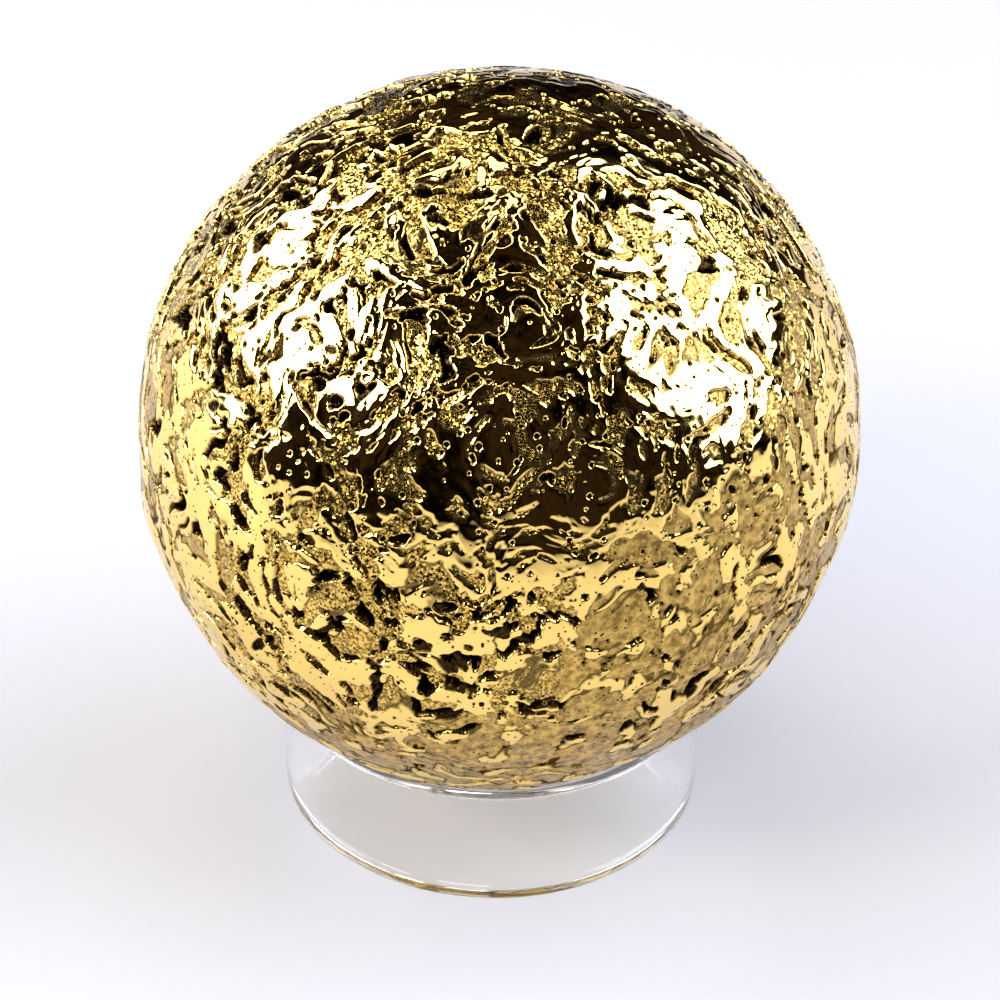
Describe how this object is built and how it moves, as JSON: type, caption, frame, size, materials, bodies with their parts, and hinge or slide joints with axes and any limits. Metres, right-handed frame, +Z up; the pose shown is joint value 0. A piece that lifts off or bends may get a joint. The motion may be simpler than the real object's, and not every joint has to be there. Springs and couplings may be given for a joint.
{
  "type": "lava stone ball on a ring stand",
  "caption": "Pitted stone ball with a mirror-bright gold-coloured coating, resting loose in a short clear ring that holds it up for display.",
  "frame": {"origin": "on the ring's axis, in the plane of its underside, which is the surface that the object stands on", "axes": "+Z up along the ring's axis; -Y is the side shown in front; the ring is round, so X and Y are otherwise free"},
  "size_m": [0.0616, 0.0618, 0.0681],
  "materials": {
    "clear_acrylic": "polished",
    "gold_coated_lava": "polished"
  },
  "bodies": {
    "ring_stand": {"acrylic_ring_stand": "clear_acrylic"},
    "ball": {"lava_stone_ball": "gold_coated_lava"}
  },
  "joints": [
    {"name": "ball_lift", "type": "slide", "parent": "ring_stand", "child": "ball", "axis": [0, 0, 1], "range_m": [0, 0.03]}
  ]
}
